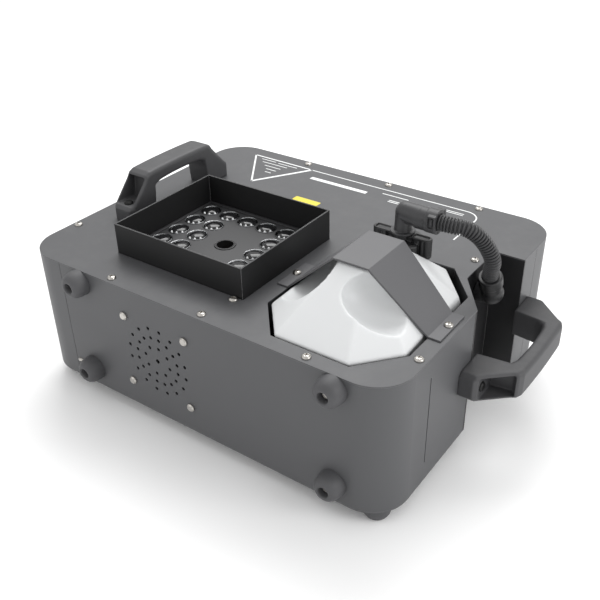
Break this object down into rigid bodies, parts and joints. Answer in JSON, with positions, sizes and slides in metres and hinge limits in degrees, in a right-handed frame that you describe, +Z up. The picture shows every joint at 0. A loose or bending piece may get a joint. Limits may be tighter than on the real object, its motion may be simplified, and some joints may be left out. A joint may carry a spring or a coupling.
{
  "type": "fog machine",
  "caption": "Low rounded case that blows fog up through a square LED hood, with a strapped-in tank, a corrugated hose, two carrying handles and rubber feet on two faces.",
  "frame": {"origin": "on the floor, under the middle of the whole machine's bounding box", "axes": "+X towards the end with the side handle, +Y from the fan side to the control side, +Z up, the way the fog leaves"},
  "size_m": [0.446, 0.341, 0.2109],
  "materials": {
    "case_paint": "satin powder coat",
    "hood_paint": "satin powder coat",
    "strap_paint": "satin powder coat",
    "black_plastic": "fine texture",
    "hose_plastic": "corrugated",
    "rubber": "matte",
    "tank_plastic": "translucent",
    "lens_clear": "clear",
    "screw_steel": "nickel plated",
    "bright_steel": "plain",
    "aluminium": "extruded",
    "brass": "turned",
    "board_green": "solder mask",
    "emitter": "resin",
    "clear_tube": "silicone",
    "display_glass": "gloss",
    "button_plastic": "matte",
    "switch_red": "gloss"
  },
  "bodies": {
    "case": {"top_plate": "case_paint", "front_wall": "case_paint", "left_wall": "case_paint", "back_wall": "case_paint", "right_wall": "case_paint", "notch_liner": "hood_paint", "bottom_plate": "case_paint", "plate_screws": "screw_steel", "strap_screws": "screw_steel", "fan_screws": "screw_steel", "handle_screws": "screw_steel", "foot_screws": "screw_steel", "bottom_feet": "rubber", "front_feet": "rubber", "top_handle": "black_plastic", "end_handle": "black_plastic", "led_hood": "hood_paint", "led_panel": "hood_paint", "led_lenses": "lens_clear", "led_board": "board_green", "led_emitters": "emitter", "led_spacers": "bright_steel", "led_heat_sink": "aluminium", "heater_block": "aluminium", "heater_stands": "bright_steel", "thermostats": "bright_steel", "heater_cover": "bright_steel", "nozzle": "brass", "nozzle_shroud": "hood_paint", "pump": "bright_steel", "pump_bracket": "bright_steel", "suction_tube": "clear_tube", "pressure_tube": "clear_tube", "tank_tray": "hood_paint", "tank": "tank_plastic", "dip_tube": "clear_tube", "tank_strap": "strap_paint", "cap_elbow": "black_plastic", "hose": "hose_plastic", "wall_elbow": "black_plastic", "fan_frame": "black_plastic", "display_window": "display_glass", "control_board": "board_green", "dmx_input": "black_plastic", "dmx_output": "black_plastic", "power_inlet": "black_plastic", "fuse_holder": "black_plastic", "switch_housing": "black_plastic", "main_board": "board_green", "power_supply": "bright_steel"},
    "tank_cap": {"tank_cap": "black_plastic"},
    "fan_rotor": {"fan_rotor": "black_plastic"},
    "menu_button": {"menu_button": "button_plastic"},
    "up_button": {"up_button": "button_plastic"},
    "down_button": {"down_button": "button_plastic"},
    "enter_button": {"enter_button": "button_plastic"},
    "dmx_latch": {"dmx_latch": "bright_steel"},
    "fuse_cap": {"fuse_cap": "black_plastic"},
    "power_rocker": {"power_rocker": "switch_red"}
  },
  "joints": [
    {"name": "tank_cap_turn", "type": "hinge", "parent": "case", "child": "tank_cap", "pos_m": [0.09, 0.0095, 0.165], "axis": [0, 0, 1], "range_deg": [0, 360]},
    {"name": "fan_spin", "type": "hinge", "parent": "case", "child": "fan_rotor", "pos_m": [-0.0595, -0.1435, 0.0775], "axis": [0, 1, 0], "continuous": true},
    {"name": "menu_button_press", "type": "slide", "parent": "case", "child": "menu_button", "axis": [0, -1, 0], "range_m": [0, 0.0012], "stiffness_N_per_m": 400},
    {"name": "up_button_press", "type": "slide", "parent": "case", "child": "up_button", "axis": [0, -1, 0], "range_m": [0, 0.0012], "stiffness_N_per_m": 400},
    {"name": "down_button_press", "type": "slide", "parent": "case", "child": "down_button", "axis": [0, -1, 0], "range_m": [0, 0.0012], "stiffness_N_per_m": 400},
    {"name": "enter_button_press", "type": "slide", "parent": "case", "child": "enter_button", "axis": [0, -1, 0], "range_m": [0, 0.0012], "stiffness_N_per_m": 400},
    {"name": "dmx_latch_press", "type": "slide", "parent": "case", "child": "dmx_latch", "axis": [0, -1, 0], "range_m": [0, 0.002], "stiffness_N_per_m": 400},
    {"name": "fuse_cap_turn", "type": "hinge", "parent": "case", "child": "fuse_cap", "pos_m": [-0.097, 0.1615, 0.113], "axis": [0, 1, 0], "range_deg": [0, 90]},
    {"name": "power_rocker_tilt", "type": "hinge", "parent": "case", "child": "power_rocker", "pos_m": [-0.097, 0.1595, 0.089], "axis": [-1, 0, 0], "range_deg": [0, 14]}
  ]
}
